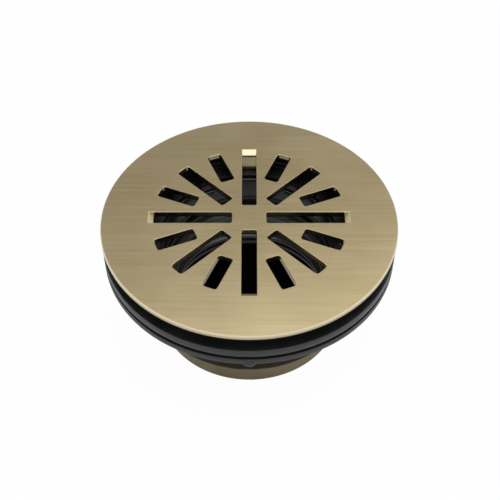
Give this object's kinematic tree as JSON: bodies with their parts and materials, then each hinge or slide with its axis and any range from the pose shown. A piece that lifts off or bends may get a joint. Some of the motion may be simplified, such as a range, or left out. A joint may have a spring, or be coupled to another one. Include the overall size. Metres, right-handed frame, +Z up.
{
  "type": "floor drain grate",
  "caption": "Round slotted brass floor drain grate on a flanged body with rubber washers, a locknut and a compression seal for the pipe.",
  "frame": {"origin": "centre of the drain's lower end, on its axis", "axes": "+Z up along the drain's axis towards the grate, -Y towards the lower gasket's tongue, +X to the right seen from that side"},
  "size_m": [0.1142, 0.1147, 0.0546],
  "materials": {
    "brushed_brass": "brushed in one direction, satin",
    "leg_brass": "sheared strip, satin",
    "body_brass": "turned, satin",
    "cast_brass": "sand cast with machined faces",
    "spring_steel": "rolled strip",
    "rubber": "moulded, semi-matt",
    "fibre": "pressed fibre, matt",
    "nut_plastic": "moulded, glossy",
    "washer_plastic": "moulded, satin"
  },
  "bodies": {
    "drain": {"drain_body": "body_brass", "seat_ring": "rubber", "rim_gasket": "rubber", "upper_gasket": "rubber", "slip_ring": "fibre", "pipe_gasket": "rubber"},
    "grate": {"grate_plate": "brushed_brass", "grate_leg_front": "leg_brass", "grate_leg_right": "leg_brass", "grate_leg_back": "leg_brass", "grate_leg_left": "leg_brass", "leg_spring_front": "spring_steel", "leg_spring_right": "spring_steel", "leg_spring_back": "spring_steel", "leg_spring_left": "spring_steel"},
    "clamp_stack": {"lower_gasket": "rubber", "friction_washer": "fibre"},
    "locknut_ring": {"locknut": "cast_brass"},
    "seal_follower": {"slip_washer": "washer_plastic"},
    "compression_ring": {"compression_nut": "nut_plastic"}
  },
  "joints": [
    {"name": "grate_lift", "type": "slide", "parent": "drain", "child": "grate", "axis": [0, 0, 1], "range_m": [0, 0.03]},
    {"name": "clamp_travel", "type": "slide", "parent": "drain", "child": "clamp_stack", "axis": [0, 0, -1], "range_m": [0, 0.0111]},
    {"name": "locknut_turn", "type": "hinge", "parent": "clamp_stack", "child": "locknut_ring", "pos_m": [0, 0, 0.0258], "axis": [0, 0, -1], "range_deg": [0, 1800]},
    {"name": "seal_travel", "type": "slide", "parent": "drain", "child": "seal_follower", "axis": [0, 0, -1], "range_m": [0, 0.00295]},
    {"name": "compression_turn", "type": "hinge", "parent": "seal_follower", "child": "compression_ring", "pos_m": [0, 0, 0.0379], "axis": [0, 0, -1], "range_deg": [0, 474]}
  ],
  "couplings": [
    {"joint": "clamp_travel", "follows": "locknut_turn", "m_per_rad": 0.00035014},
    {"joint": "seal_travel", "follows": "compression_turn", "m_per_rad": 0.00035014}
  ]
}
